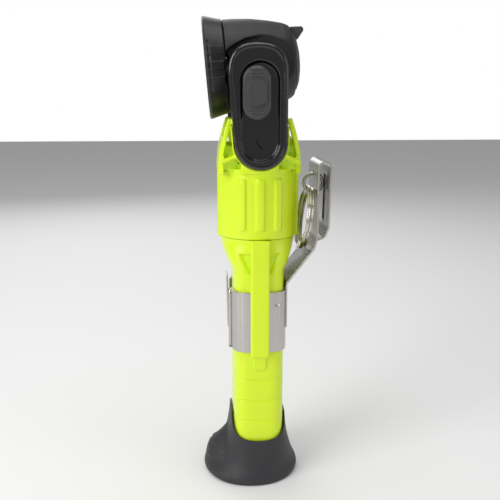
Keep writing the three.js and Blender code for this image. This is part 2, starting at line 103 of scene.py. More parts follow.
floor = mesh_object("floor", np.array([[-3, -3, 0], [3, -3, 0], [3, 3, 0], [-3, 3, 0]], float),
                    np.array([[0, 1, 2, 3]]))
floor_paint = bpy.data.materials.new("pale_floor")
floor_paint.use_nodes = True
floor_paint.node_tree.nodes["Principled BSDF"].inputs["Base Color"].default_value = (0.93, 0.93, 0.93, 1)
floor_paint.node_tree.nodes["Principled BSDF"].inputs["Roughness"].default_value = 0.7
floor.data.materials.append(floor_paint)

# ---------- rubber foot ----------
# A black rubber boot pulled over the barrel's end, moulded in one shot. It flares to a round base with a
# thick edge, has a ribbed toe in front, and its rim dips on the two wide sides of the barrel.


def moulded_skin_group():
    """Slow colour drift and fine grain: noise at two scales tints the colour and lifts the roughness
    and bump."""
    tree = bpy.data.node_groups.new("moulded_skin", "ShaderNodeTree")
    face = tree.interface
    face.new_socket("Colour", in_out="INPUT", socket_type="NodeSocketColor")
    for label in ("Roughness", "Drift", "Grain Size", "Grain Height", "Scuffs"):
        face.new_socket(label, in_out="INPUT", socket_type="NodeSocketFloat")
    face.new_socket("Colour", in_out="OUTPUT", socket_type="NodeSocketColor")
    face.new_socket("Roughness", in_out="OUTPUT", socket_type="NodeSocketFloat")
    face.new_socket("Normal", in_out="OUTPUT", socket_type="NodeSocketVector")
    node, link = tree.nodes.new, tree.links.new
    inputs, outputs, place = node("NodeGroupInput"), node("NodeGroupOutput"), node("ShaderNodeTexCoord")

    def noise(scale, detail):
        texture = node("ShaderNodeTexNoise")
        texture.inputs["Scale"].default_value = scale
        texture.inputs["Detail"].default_value = detail
        link(place.outputs["Object"], texture.inputs["Vector"])
        return texture

    def maths(operation, first, second):
        sum_node = node("ShaderNodeMath")
        sum_node.operation = operation
        for socket, value in zip(sum_node.inputs, (first, second)):
            if isinstance(value, (int, float)):
                socket.default_value = value
            else:
                link(value, socket)
        return sum_node.outputs[0]

    slow = noise(38, 4)
    centred = maths("MULTIPLY", maths("SUBTRACT", slow.outputs["Fac"], 0.5), inputs.outputs["Drift"])
    tint = node("ShaderNodeHueSaturation")
    link(inputs.outputs["Colour"], tint.inputs["Color"])
    link(maths("ADD", centred, 1.0), tint.inputs["Value"])
    scratch = noise(240, 2)
    streaks = node("ShaderNodeMapping")
    streaks.inputs["Scale"].default_value = (1, 1, 0.12)
    link(place.outputs["Object"], streaks.inputs["Vector"])
    link(streaks.outputs["Vector"], scratch.inputs["Vector"])
    rubbed = maths("MULTIPLY", maths("GREATER_THAN", scratch.outputs["Fac"], 0.66), inputs.outputs["Scuffs"])
    fine = noise(1000, 3)
    link(inputs.outputs["Grain Size"], fine.inputs["Scale"])
    rough = maths("ADD", maths("ADD", inputs.outputs["Roughness"], maths("MULTIPLY", centred, 0.8)), rubbed)
    bump = node("ShaderNodeBump")
    bump.inputs["Distance"].default_value = 0.0002
    link(inputs.outputs["Grain Height"], bump.inputs["Strength"])
    link(fine.outputs["Fac"], bump.inputs["Height"])
    link(tint.outputs["Color"], outputs.inputs["Colour"])
    link(rough, outputs.inputs["Roughness"])
    link(bump.outputs["Normal"], outputs.inputs["Normal"])
    return tree


moulded_skin = moulded_skin_group()


def moulded(name, colour, roughness, drift=0.1, grain=1400, height=0.2, scuffs=0.05, **sockets):
    """A moulded plastic or rubber with the shared skin, and constant shader values set on the shader
    itself."""
    paint = bpy.data.materials.new(name)
    paint.use_nodes = True
    tree = paint.node_tree
    shader = tree.nodes["Principled BSDF"]
    skin = tree.nodes.new("ShaderNodeGroup")
    skin.node_tree = moulded_skin
    values = {"Colour": (*colour, 1), "Roughness": roughness, "Drift": drift, "Grain Size": grain,
              "Grain Height": height, "Scuffs": scuffs}
    for label, value in values.items():
        skin.inputs[label].default_value = value
    tree.links.new(skin.outputs["Colour"], shader.inputs["Base Color"])
    tree.links.new(skin.outputs["Roughness"], shader.inputs["Roughness"])
    tree.links.new(skin.outputs["Normal"], shader.inputs["Normal"])
    for label, value in sockets.items():
        shader.inputs[label.replace("_", " ")].default_value = value
    return paint


def grid_faces(rows, columns, wrap=True, start=0):
    """Quads of a grid of rows by columns, closed round the columns when wrap is true."""
    row, column = np.meshgrid(np.arange(rows - 1), np.arange(columns if wrap else columns - 1), indexing="ij")
    right = (column + 1) % columns
    corners = (row * columns + column, row * columns + right, (row + 1) * columns + right,
               (row + 1) * columns + column)
    return np.stack(corners, -1).reshape(-1, 4) + start


def signed_volume(mesh):
    """Volume inside a closed mesh, a sixth of the sum of a . (b x c) over its triangles; negative if
    inside out."""
    mesh.calc_loop_triangles()
    at = np.empty(len(mesh.vertices) * 3)
    mesh.vertices.foreach_get("co", at)
    corner = np.empty(len(mesh.loop_triangles) * 3, int)
    mesh.loop_triangles.foreach_get("vertices", corner)
    a, b, c = at.reshape(-1, 3)[corner.reshape(-1, 3)].transpose(1, 0, 2)
    return float((a * np.cross(b, c)).sum() / 6)


def skin_object(name, rings, cap_first=True, cap_last=True):
    """A closed skin over an array of rings (ring, point, xyz) in mm, its end rings closed by fans of
    quads."""
    rows, columns = rings.shape[:2]
    points, faces = [rings.reshape(-1, 3)], [grid_faces(rows, columns)]
    shape_faces = faces[0].tolist()
    extra = rows * columns
    for cap, ring_row in ((cap_first, 0), (cap_last, rows - 1)):
        if cap:
            points.append(rings[ring_row].mean(0)[None])
            here = ring_row * columns + np.arange(columns)
            ahead = ring_row * columns + (np.arange(columns) + 1) % columns
            fan = np.stack((np.full(columns, extra), ahead, here), -1) if ring_row == 0 else \
                np.stack((np.full(columns, extra), here, ahead), -1)
            shape_faces += fan.tolist()
            extra += 1
    mesh = bpy.data.meshes.new(name)
    mesh.from_pydata((np.concatenate(points) * MM).tolist(), [], shape_faces)
    mesh.update()
    if signed_volume(mesh) < 0:
        mesh.flip_normals()
    mesh.polygons.foreach_set("use_smooth", np.ones(len(mesh.polygons), bool))
    shape = bpy.data.objects.new(name, mesh)
    bpy.context.scene.collection.objects.link(shape)
    return shape


def finish_piece(shape, body, paint, slot_name, *nodes):
    """Gives a piece its finish, hangs it on the body it rides on and hides the CAD nodes it stands for."""
    shape.data.materials.clear()
    shape.data.materials.append(paint)
    if nodes:
        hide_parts(*nodes)
    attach(shape, body)
    return shape


def glide(keys, at):
    """Values between keyed rows (position first), eased by a cubic through the keys' own slopes."""
    keys = np.asarray(keys, float)
    slope = np.gradient(keys[:, 1:], keys[:, 0], axis=0)
    at = np.clip(at, keys[0, 0], keys[-1, 0])
    k = np.clip(np.searchsorted(keys[:, 0], at, side="right") - 1, 0, len(keys) - 2)
    span = (keys[k + 1, 0] - keys[k, 0])[..., None]
    t = (at - keys[k, 0])[..., None] / span
    a, b, m, n = keys[k, 1:], keys[k + 1, 1:], slope[k] * span, slope[k + 1] * span
    return (2 * t**3 - 3 * t**2 + 1) * a + (t**3 - 2 * t**2 + t) * m + (3 * t**2 - 2
        * t**3) * b + (t**3 - t**2) * n


def squircle(angle, half_x, half_y, power):
    """Distance from the centre to a rounded oblong (a superellipse) in the direction of each angle."""
    return (np.abs(np.cos(angle) / half_x) ** power + np.abs(np.sin(angle) / half_y) ** power) ** (-1 / power)


def smooth_step(value, low, high):
    """0 below low, 1 above high, eased between."""
    t = np.clip((value - low) / (high - low), 0, 1)
    return t * t * (3 - 2 * t)


BARREL_HALF = (19.5, 13.3, 4.2)  # half widths in mm, and how square the section is
FOOT_SIDE = [(0, -3.4, 25.6, 24.4, 2.1), (0.6, -3.4, 26.1, 24.9, 2.1), (4.4, -3.35, 26.2, 24.9, 2.1),
             (5.4, -3.2, 25.7, 24.2, 2.1),
             (8, -2.0, 24.5, 21.8, 2.2), (12, -0.9, 23.3, 19.4, 2.4), (19, -0.3, 22.0, 17.0, 2.9), (27,
                                                                                                    -0.1, 21.3, 15.3, 3.5),
             (34.5, 0, 21.0, 14.5, 4.2)]
TOE_SIDE = [(0, -14.0, 15.2, 14.2), (8, -14.1, 14.8, 14.2), (13, -13.6, 12.8, 13.0), (18.5, -12, 9.2, 9.2),
            (22.5, -11, 6.2, 6.2),
            (26, -10, 3.0, 3.0)]


def foot_radius(angle, z):
    """The boot's wall and the toe's wall seen from the boot's middle, blended by a soft maximum."""
    middle_y, half_x, half_y, power = np.moveaxis(glide(FOOT_SIDE, z), -1, 0)
    boot = squircle(angle, half_x, half_y, power)
    toe_y, toe_x, toe_half = np.moveaxis(glide(TOE_SIDE, z), -1, 0)
    offset = toe_y - middle_y
    a = (np.cos(angle) / toe_x) ** 2 + (np.sin(angle) / toe_half) ** 2
    b = -np.sin(angle) * offset / toe_half**2
    root = np.maximum(b * b - a * ((offset / toe_half) ** 2 - 1), 0)
    toe = np.where(root > 0, (-b + np.sqrt(root)) / a, 0)
    side = smooth_step(np.abs(np.cos(angle)), 0.12, 0.3) * smooth_step(-np.sin(angle), 0.5, 0.8)
    ribs = np.exp(-((z[..., None] - np.array([9.2, 11.8, 14.4])) / 0.55) ** 2).sum(-1) * side
    sharpness = 1.1
    return np.logaddexp(boot * sharpness, (toe + 0.7 * ribs) * sharpness) / sharpness - 0.05, middle_y


def make_foot():
    """Rings from the base's middle, up the flared wall, over the dipping rim and down the socket to
    its floor."""
    angle = np.linspace(0, 2 * np.pi, 300, endpoint=False)
    rim_y = BARREL_HALF[1] * np.sin(angle) * squircle(angle, 1, 1, BARREL_HALF[2])
    dip = np.sqrt(np.clip(1 - (rim_y / 12.9) ** 2, 0, 1)) * (np.abs(np.cos(angle)) > 0.2)
    rim = 34.5 - 12 * dip
    rise = np.concatenate((np.linspace(0, 0.16, 16), np.linspace(0.17, 1, 110)))[:, None]
    height = np.where(rise < 0.16, rise / 0.16 * 5.4, 5.4 + (rise - 0.16) / 0.84 * (rim - 5.4))
    wide = np.broadcast_to(angle, height.shape)
    radius, middle_y = foot_radius(wide, height)
    outer = np.stack((radius * np.cos(wide), radius * np.sin(wide) + middle_y, height), -1)
    socket = squircle(angle, BARREL_HALF[0] + 0.25, BARREL_HALF[1] + 0.25, BARREL_HALF[2])
    inner = np.stack((socket * np.cos(angle), socket * np.sin(angle), rim), -1)
    over = np.linspace(0, np.pi, 9)[1:-1, None, None]
    top = outer[-1] * (1 + np.cos(over)) / 2 + inner * (1 - np.cos(over)) / 2
    top[..., 2] += 0.55 * np.sin(over[..., 0])
    depth = np.linspace(0, 1, 24)[:, None, None]
    down = np.repeat(inner[None], 24, 0)
    down[..., 2] = (rim * (1 - depth[..., 0]) + 3.9 * depth[..., 0])
    base = outer[0] * np.array([0.985, 0.985, 0])
    return skin_object("rubber_foot_boot", np.concatenate((base[None], outer, top, down)))


RUBBER = moulded("moulded_rubber", (0.030, 0.031, 0.034), 0.52, drift=0.25, grain=2600, height=0.22,
                 scuffs=0.1,
                 Specular_IOR_Level=0.45)
finish_piece(make_foot(), "root", RUBBER, "rubber", "rubber_foot")

# ---------- barrel ----------
# The battery tube, injection moulded in fluorescent yellow-green plastic, with an oblong section that opens
# through a funnel into the round neck. Three shallow ring grooves run round it above the foot.
GROOVES = (57.1, 45.6, 34.2)


def make_barrel():
    """Oblong rings up the tube that turn round in the funnel, dented by the grooves and by four pockets."""
    angle = np.linspace(0, 2 * np.pi, 240, endpoint=False)
    z = np.concatenate((np.linspace(4.2, 62, 190), np.linspace(62.5, 108, 30),
                        np.linspace(108.5, 131, 90)))[:, None]
    turn = smooth_step(z, 113, 130.5)
    power = BARREL_HALF[2] + (2 - BARREL_HALF[2]) * turn
    flare = np.clip((z - 114.5) / 16, 0, 1)
    flare = flare + 0.12 * np.sin(np.pi * flare)
    radius = squircle(angle, BARREL_HALF[0] - 0.1 * flare,
                      BARREL_HALF[1] + (19.4 - BARREL_HALF[1]) * np.clip(flare, 0, 1), power)
    across = radius * np.sin(angle)
    wide_side = smooth_step(np.abs(np.cos(angle)), 0.25, 0.5)
    groove = sum(np.exp(-((z - level) / 0.42) ** 2) for level in GROOVES)
    radius = radius - 0.34 * groove * (0.45 + 0.55 * wide_side)
    down = (124.2 - z) / 10.5
    pocket_edge = 6.0 + 5.2 * (1 - down)
    pocket = smooth_step(down, 0, 0.07) * smooth_step(pocket_edge - np.abs(across), 0,
                                                      1.3) * wide_side * (down < 1)
    radius = radius - 1.5 * pocket * smooth_step(np.abs(across), 4.6, 5.2)
    rings = np.stack(np.broadcast_arrays(radius * np.cos(angle), radius * np.sin(angle), z), -1)
    foot_end = rings[0] * np.array([0.96, 0.95, 1]) - np.array([0, 0, 0.2])
    collar_end = rings[-1] * np.array([0.9, 0.9, 1])
    spigot = np.stack((17.4 * np.cos(angle), 17.4 * np.sin(angle), np.full(240, 131.2)), -1)
    top = np.stack((17.4 * np.cos(angle), 17.4 * np.sin(angle), np.full(240, 157.0)), -1)
    well = np.stack((14.5 * np.cos(angle), 14.5 * np.sin(angle), np.full(240, 157.0)), -1)
    deep = well - np.array([0, 0, 39.4])
    return skin_object("barrel_tube", np.concatenate((foot_end[None], rings, collar_end[None],
        spigot[None], top[None],
                                                      well[None], deep[None])))


def make_strap(side):
    """A raised rib up one wide side: a rounded bar whose height steps down to a short tongue at its
    lower end."""
    along = np.linspace(61.6, 131.2, 260)[:, None]
    sweep = np.linspace(-1, 1, 41)
    upper = smooth_step(along, 69.6, 70.7)
    half = 3.7 + 1.35 * upper + 0.25 * smooth_step(along, 124, 131)
    lift = 20.45 + 2.05 * upper
    tip = np.sqrt(np.clip(1 - ((65.2 - along) / 3.6).clip(0, 1) ** 2, 0, 1))
    half = half * (0.35 + 0.65 * tip)
    shoulder = (1 - np.abs(sweep) ** 9) ** (1 / 3)
    out = 18.2 + (lift - 18.2) * shoulder * (0.3 + 0.7 * tip)
    y = half * np.sign(sweep) * np.abs(sweep) ** 0.8
    front = np.stack(np.broadcast_arrays(side * out, side * y, along), -1)
    back = np.stack(np.broadcast_arrays(side * 18.0 + 0 * y, side * y[:, ::-1], along), -1)[:, 1:-1]
    return skin_object(f"barrel_strap_{'right' if side > 0 else 'left'}", np.concatenate((front, back), 1))


LIME = moulded("lime_plastic", (0.74, 0.95, 0.012), 0.3, drift=0.05, grain=900, height=0.05, scuffs=0.06,
               Coat_Weight=0.25, Coat_Roughness=0.25, Subsurface_Weight=0.12, Subsurface_Scale=0.004)
finish_piece(make_barrel(), "root", LIME, "lime_plastic", "barrel")
for side in (-1, 1):
    finish_piece(make_strap(side), "root", LIME, "lime_plastic")

# ---------- belt clip ----------
# One stamping of spring steel. A band wraps the barrel under the straps, its front end is rolled over, and
# at the back an arm slants out to a plate that folds over at the top into a springy outer leg with a
# pressed bead.
SHEET = 0.9
PLATE_Y, LEG_Y, FOLD_Z = 29.6, 35.8, 166.3


def sheet_object(name, grid, thickness=SHEET, edge=0.16, holes=()):
    """An open grid of mm points given a metal sheet's thickness and softened edges; holes are (centre,
    radius)."""
    rows, columns = grid.shape[:2]
    faces = grid_faces(rows, columns, wrap=False)
    points = grid.reshape(-1, 3)
    centre = points[faces].mean(1)
    for place, radius in holes:
        faces_left = np.linalg.norm(centre - np.array(place), axis=1) > radius
        faces, centre = faces[faces_left], centre[faces_left]
    shape = mesh_object(name, points * MM, faces)
    wall = shape.modifiers.new("wall", "SOLIDIFY")
    wall.thickness = thickness * MM
    wall.offset = 0
    soft = shape.modifiers.new("soft_edge", "BEVEL")
    soft.width = edge * MM
    soft.segments = 2
    soft.limit_method = "ANGLE"
    soft.angle_limit = math.radians(50)
    return shape


def bent_path(corners, radii, step=0.5):
    """A polyline with each inner corner rounded to its radius, resampled at an even step."""
    corners = np.asarray(corners, float)
    path = [corners[0]]
    for before, here, after, radius in zip(corners, corners[1:], corners[2:], radii):
        arrive, leave = before - here, after - here
        arrive, leave = arrive / np.linalg.norm(arrive), leave / np.linalg.norm(leave)
        opening = math.acos(np.clip(arrive @ leave, -1, 1))
        reach = radius / math.tan(opening / 2)
        middle = (arrive + leave) / np.linalg.norm(arrive + leave) * radius / math.sin(opening / 2) + here
        start, end = here + arrive * reach - middle, here + leave * reach - middle
        t = np.linspace(0, 1, 14)[:, None]
        arc = start * (1 - t) + end * t
        path += list(middle + arc / np.linalg.norm(arc, axis=1)[:, None] * radius)
    path = np.array(path + [corners[-1]])
    length = np.concatenate(([0], np.cumsum(np.linalg.norm(np.diff(path, axis=0), axis=1))))
    even = np.linspace(0, length[-1], int(length[-1] / step))
    return np.stack([np.interp(even, length, path[:, k]) for k in range(path.shape[1])], -1)


def make_band():
    """The band: an oblong ring of sheet, open at the front, with one pressed panel on the switch side."""
    start, end = -1.04, 4.10  # where the front opening ends and begins, as angles from +X
    angle = np.linspace(start, end, 320)
    z = np.linspace(72.6, 104.4, 84)[:, None]
    offset = 0.3 + SHEET / 2
    radius = squircle(angle, BARREL_HALF[0] + offset, BARREL_HALF[1] + offset, BARREL_HALF[2])
    across = radius * np.sin(angle)
    panel = smooth_step(across, 7.4, 8.0) * smooth_step(-across, -10.8, -10.2) * smooth_step(z, 79, 79.6) * \
        smooth_step(-z, -97.8, -97.2) * (np.cos(angle) > 0.3)
    crease = np.exp(-((across + 9.8) / 0.22) ** 2) * (np.cos(angle) > 0.3)
    radius = radius + 0.35 * panel - 0.22 * crease
    return sheet_object("clip_band", np.stack(np.broadcast_arrays(radius * np.cos(angle), radius
        * np.sin(angle), z), -1)[:, ::-1])


def make_clip_leaf():
    """The slanted arm, the plate, the fold and the outer leg: a bent path in YZ carried across the
    sheet's width."""
    fold_top = FOLD_Z + (LEG_Y - PLATE_Y) / 2
    path = bent_path([(14.05, 84), (14.05, 107.3), (28.2, 125.6), (PLATE_Y, 131), (PLATE_Y, fold_top),
                      (LEG_Y + 0.1, fold_top),
                      (35.2, 136), (33.4, 130.9), (29.6, 129.0)], (2.5, 4, 6, 3.0, 3.0, 4, 3))
    back = 0.6 + np.cumsum(np.concatenate(([0], np.linalg.norm(np.diff(path, axis=0), axis=1))))
    share = back / back[-1]
    tip = smooth_step(share, 0.93, 1.0)
    half = 15 - 3.0 * tip**2
    across = np.linspace(-1, 1, 64)[None, :]
    x = half[:, None] * across
    y = np.repeat(path[:, :1], 64, 1)
    z = np.repeat(path[:, 1:], 64, 1)
    on_leg = (share > 0.62)[:, None]
    bead = (1 - smooth_step(np.abs(x), 2.2, 3.4)) * smooth_step(z, 137, 139) * smooth_step(-z, -163.5,
                                                                                           -161.5) * on_leg
    y = y + 0.7 * bead
    holes = [((0, PLATE_Y, 157.6 + lift), 1.7) for lift in (-4.9, 4.9)]
    return sheet_object("clip_leaf", np.stack((x, y, z), -1)[:, ::-1], holes=holes)


def make_front_tab():
    """A flat tab on the band's front end, a little taller than the band and with one corner cut off."""
    x = np.linspace(-14.5, -2.5, 30)[None, :]
    share = np.linspace(0, 1, 60)[:, None]
    top = 107.4 - 1.6 * smooth_step(x, -5.5, -2.5)
    z = 79 + (top - 79) * share
    return sheet_object("clip_front_tab", np.stack(np.broadcast_arrays(x, -15.1 - 0.02 * (z - 79), z), -1))


def tube(name, path, radius, sides=16, closed=False, up=(0, 0, 1)):
    """A round bar in mm along a path of points, its section square to the path, with ends closed by caps."""
    path = np.asarray(path, float)
    ahead = np.roll(path, -1, 0) - np.roll(path, 1, 0) if closed else np.gradient(path, axis=0)
    ahead /= np.linalg.norm(ahead, axis=1)[:, None]
    side = np.cross(ahead, np.asarray(up, float))
    side /= np.linalg.norm(side, axis=1)[:, None]
    lift = np.cross(side, ahead)
    turn = np.linspace(0, 2 * np.pi, sides, endpoint=False)
    radius = np.broadcast_to(np.asarray(radius, float), len(path))[:, None, None]
    rings = path[:, None] + radius * (np.cos(turn)[None, :, None] * lift[:, None] + np.sin(turn)[None, :,
        None] * side[:, None])
    if closed:
        rings = np.concatenate((rings, rings[:1]))
    return skin_object(name, rings, not closed, not closed)


def steel_paint(name, colour, roughness, streak):
    """Rolled steel: fine streaks along one way and slow smears vary the roughness and the bump."""
    paint = bpy.data.materials.new(name)
    paint.use_nodes = True
    tree = paint.node_tree
    node, link = tree.nodes.new, tree.links.new
    shader = tree.nodes["Principled BSDF"]
    place, stretch = node("ShaderNodeTexCoord"), node("ShaderNodeMapping")
    stretch.inputs["Scale"].default_value = streak
    link(place.outputs["Object"], stretch.inputs["Vector"])
    line, smear = node("ShaderNodeTexNoise"), node("ShaderNodeTexNoise")
    line.inputs["Scale"].default_value = 900
    smear.inputs["Scale"].default_value = 60
    link(stretch.outputs["Vector"], line.inputs["Vector"])
    link(place.outputs["Object"], smear.inputs["Vector"])
    mix = node("ShaderNodeMath")
    mix.operation = "ADD"
    link(line.outputs["Fac"], mix.inputs[0])
    link(smear.outputs["Fac"], mix.inputs[1])
    rough = node("ShaderNodeMapRange")
    rough.inputs["From Min"].default_value = 0.6
    rough.inputs["From Max"].default_value = 1.4
    rough.inputs["To Min"].default_value = roughness * 0.7
    rough.inputs["To Max"].default_value = roughness * 1.5
    link(mix.outputs[0], rough.inputs["Value"])
    link(rough.outputs["Result"], shader.inputs["Roughness"])
    tone = node("ShaderNodeValToRGB")
    tone.color_ramp.elements[0].color = (*[c * 0.82 for c in colour], 1)
    tone.color_ramp.elements[1].color = (*colour, 1)
    link(smear.outputs["Fac"], tone.inputs["Fac"])
    link(tone.outputs["Color"], shader.inputs["Base Color"])
    bump = node("ShaderNodeBump")
    bump.inputs["Strength"].default_value = 0.12
    bump.inputs["Distance"].default_value = 0.0001
    link(line.outputs["Fac"], bump.inputs["Height"])
    link(bump.outputs["Normal"], shader.inputs["Normal"])
    shader.inputs["Metallic"].default_value = 1.0
    return paint


STEEL = steel_paint("spring_steel", (0.60, 0.58, 0.56), 0.26, (1, 1, 0.06))
band = make_band()
finish_piece(band, "root", STEEL, "steel", "belt_clip")
for part in (make_clip_leaf(), make_front_tab(),
             tube("clip_rolled_edge", [(10.4, -14.7, z) for z in np.linspace(72.6, 104.4, 12)], 0.95,
                  up=(1, 0, 0))):
    finish_piece(part, "root", STEEL, "steel")

# ---------- jump ring and split rings ----------
# A jump ring of round wire turns in two holes in the clip's plate. Two split rings hang from it, each a
# spring wire of two flat turns that lie against one another, leaning on the yoke's collar.
WIRE = steel_paint("ring_wire", (0.62, 0.60, 0.55), 0.16, (1, 1, 1))
LEAN = math.radians(8)


def make_jump_ring():
    """A circle of wire in the YZ plane with its ends butted at the back."""
    turn = np.linspace(0, 2 * np.pi, 96, endpoint=False)
    path = np.stack((0 * turn, 29.2 + 4.9 * np.cos(turn), 157.6 + 4.9 * np.sin(turn)), -1)
    return tube("jump_ring_wire", path, 0.85, closed=True, up=(1, 0, 0))


def make_split_ring(name, top_y, top_z, radius):
    """Two turns of wire side by side, stepping over by one wire's width, hung by the top and leaning in."""
    turn = np.linspace(-2 * np.pi, 2 * np.pi, 260) + 1.9
    over = 0.52 * np.tanh(np.linspace(-1, 1, 260) * 7)
    flat = np.stack((radius * np.sin(turn), over, radius * (np.cos(turn) - 1)), -1)
    y = flat[:, 1] * math.cos(LEAN) + flat[:, 2] * math.sin(LEAN)
    z = -flat[:, 1] * math.sin(LEAN) + flat[:, 2] * math.cos(LEAN)
    path = np.stack((flat[:, 0], top_y + y, top_z + z), -1)
    return tube(name, path, 0.56, sides=12, up=(0, math.cos(LEAN), -math.sin(LEAN)))


finish_piece(make_jump_ring(), "jump_ring", WIRE, "steel", "jump_ring")
finish_piece(make_split_ring("split_ring_outer_wire", 28.0, 154.9, 15.6), "ring_outer", WIRE, "steel",
             "split_ring_outer")
finish_piece(make_split_ring("split_ring_inner_wire", 26.4, 156.0, 16.6), "ring_inner", WIRE, "steel",
             "split_ring_inner")

# ---------- yoke ----------
# One moulding in the barrel's plastic: a collar with rounded grip bars, four ears that lean in as they rise,
# and a cradle on each side with a rim round the lower half of the arm. It turns on the barrel's spigot.


def remoulded(name, node, voxel, passes, share=1.0):
    """A copy of a CAD node's shape with its facets merged, rebuilt as an even skin and eased like a
    moulding."""
    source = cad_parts[node]
    mesh = source.data.copy()
    shape = bpy.data.objects.new(name, mesh)
    bpy.context.scene.collection.objects.link(shape)
    bpy.context.view_layer.objects.active = shape
    weld = shape.modifiers.new("weld", "WELD")
    weld.merge_threshold = 0.00001
    skin = shape.modifiers.new("skin", "REMESH")
    skin.mode = "VOXEL"
    skin.voxel_size = voxel * MM
    ease = shape.modifiers.new("ease", "SMOOTH")
    ease.factor = 0.5
    ease.iterations = passes
    if share < 1:
        fewer = shape.modifiers.new("fewer", "DECIMATE")
        fewer.ratio = share
    settled = bpy.data.meshes.new_from_object(shape.evaluated_get(bpy.context.evaluated_depsgraph_get()))
    shape.modifiers.clear()
    shape.data = settled
    settled.polygons.foreach_set("use_smooth", np.ones(len(settled.polygons), bool))
    return shape


def make_grip_bar(side, turn):
    """A raised bar with round ends on the collar: a stadium outline whose height eases to the collar's
    wall."""
    outline = np.linspace(0, 2 * np.pi, 64, endpoint=False)
    inward = np.array([1.0, 1.0, 0.93, 0.8, 0.6, 0.35, 0.12])[:, None]
    height = np.array([-0.8, 0.25, 0.72, 0.95, 1.04, 1.08, 1.1])[:, None]
    half, reach = 2.1, 10.9
    across = half * inward * np.cos(outline)
    along = 148.9 + (reach + half * inward * np.abs(np.sin(outline))) * np.sign(np.sin(outline)) * np.where(
        np.abs(np.sin(outline)) > 0.02, 1, 0)
    around = math.radians(turn) + across / 20.4
    radius = 20.35 + height + 0 * across
    rings = np.stack((side * radius * np.cos(around), side * radius * np.sin(around), along + 0 * radius), -1)
    label = f"{'right' if side > 0 else 'left'}_{turn + 26}"
    return skin_object(f"yoke_grip_bar_{label}", rings)


yoke = remoulded("yoke_moulding", "yoke", 0.5, 5)
finish_piece(yoke, "top", LIME, "lime_plastic", "yoke")
for side in (-1, 1):
    for turn in (-26, 0, 26):
        finish_piece(make_grip_bar(side, turn), "top", LIME, "lime_plastic")

# ---------- arms ----------
# Two glossy black arms, one each side, screwed into the cradles from inside. Each has a polished rounded rim,
# a slightly sunken face and a long recessed track; on the switch side the slider runs in the track.
PIVOT_Y, PIVOT_Z = -1.8, 211.5
ARM_IN, ARM_OUT = 23.5, 29.3


def arm_loop(shrink, count=288):
    """The arm's outline in Y and Z, drawn in by shrink: a round bottom, nearly straight sides and a
    squarer top."""
    turn = np.linspace(0, 2 * np.pi, count, endpoint=False)
    top = squircle(turn, 14.1 - shrink, 14.0 - shrink, 2.55)
    bottom = 12.6 - shrink
    up = np.sin(turn) > 0
    y = np.where(up, PIVOT_Y + top * np.cos(turn), -0.3 + bottom * np.cos(turn))
    z = np.where(up, PIVOT_Z + top * np.sin(turn), 179.4 + bottom * np.sin(turn))
    loop = np.stack((y, z), -1)
    loop = np.concatenate((loop, loop[:1]))
    length = np.concatenate(([0], np.cumsum(np.linalg.norm(np.diff(loop, axis=0), axis=1))))
    even = np.linspace(0, length[-1], count, endpoint=False)
    return np.stack([np.interp(even, length, loop[:, k]) for k in (0, 1)], -1)


def track_loop(shrink, count=288):
    """The track's outline: a stadium with straight sides, drawn in by shrink."""
    turn = np.linspace(0, 2 * np.pi, count, endpoint=False)
    half = 9.0 - shrink
    y = -0.9 + half * np.cos(turn)
    z = np.where(np.sin(turn) > 0, 208.2, 180.2) + half * np.sin(turn)
    loop = np.stack((y, z), -1)
    loop = np.concatenate((loop, loop[:1]))
    length = np.concatenate(([0], np.cumsum(np.linalg.norm(np.diff(loop, axis=0), axis=1))))
    even = np.linspace(0, length[-1], count, endpoint=False)
    return np.stack([np.interp(even, length, loop[:, k]) for k in (0, 1)], -1)


def make_arm(side):
    """Loops from the inner face, round the rim, over the sunken face, down the track's wall to its floor."""
    steps = [(arm_loop(0.8), ARM_IN), (arm_loop(0.2), ARM_IN + 0.15), (arm_loop(0), ARM_IN + 0.6),
             (arm_loop(0), 26.6)]
    for t in np.linspace(0, np.pi / 2, 8):
        steps.append((arm_loop(1.5 * (1 - math.cos(t))), ARM_OUT - 1.5 + 1.5 * math.sin(t)))
    steps += [(arm_loop(1.75), ARM_OUT - 0.03), (arm_loop(2.0), ARM_OUT - 0.22),
              (arm_loop(2.4), ARM_OUT - 0.3)]
    for t in (0.35, 0.7):
        steps.append((arm_loop(2.4) * (1 - t) + track_loop(-0.9) * t, ARM_OUT - 0.3 + 0.05 * t))
    for t in np.linspace(0, np.pi / 2, 7):
        steps.append((track_loop(-0.9 + 0.9 * math.sin(t)), ARM_OUT - 0.25 - 0.9 * (1 - math.cos(t))))
    for t in np.linspace(0, np.pi / 2, 6):
        steps.append((track_loop(0.1 + 0.9 * (1 - math.cos(t))), ARM_OUT - 1.5 - 0.9 * math.sin(t)))
    steps += [(track_loop(3.5), ARM_OUT - 2.42), (track_loop(7.5), ARM_OUT - 2.42)]
    rings = np.stack([np.concatenate((np.full((288, 1), side * x), loop), 1) for loop, x in steps])
    return skin_object(f"arm_shell_{'right' if side > 0 else 'left'}", rings if side > 0 else rings[:, ::-1])


GLOSS = moulded("gloss_black_plastic", (0.0045, 0.0042, 0.0045), 0.2, drift=0.2, grain=1100, height=0.05,
                scuffs=0.04,
                Specular_IOR_Level=0.6, Coat_Weight=0.35, Coat_Roughness=0.12)
finish_piece(make_arm(1), "top", GLOSS, "gloss_black", "arm_right")
finish_piece(make_arm(-1), "top", GLOSS, "gloss_black", "arm_left")

# ---------- switch slider ----------
# A dark grey thumb slider that runs down the right arm's track, moulded with a raised round pad in its middle
# and three short grip ribs above and below. A magnet under it works the switch through the sealed arm.


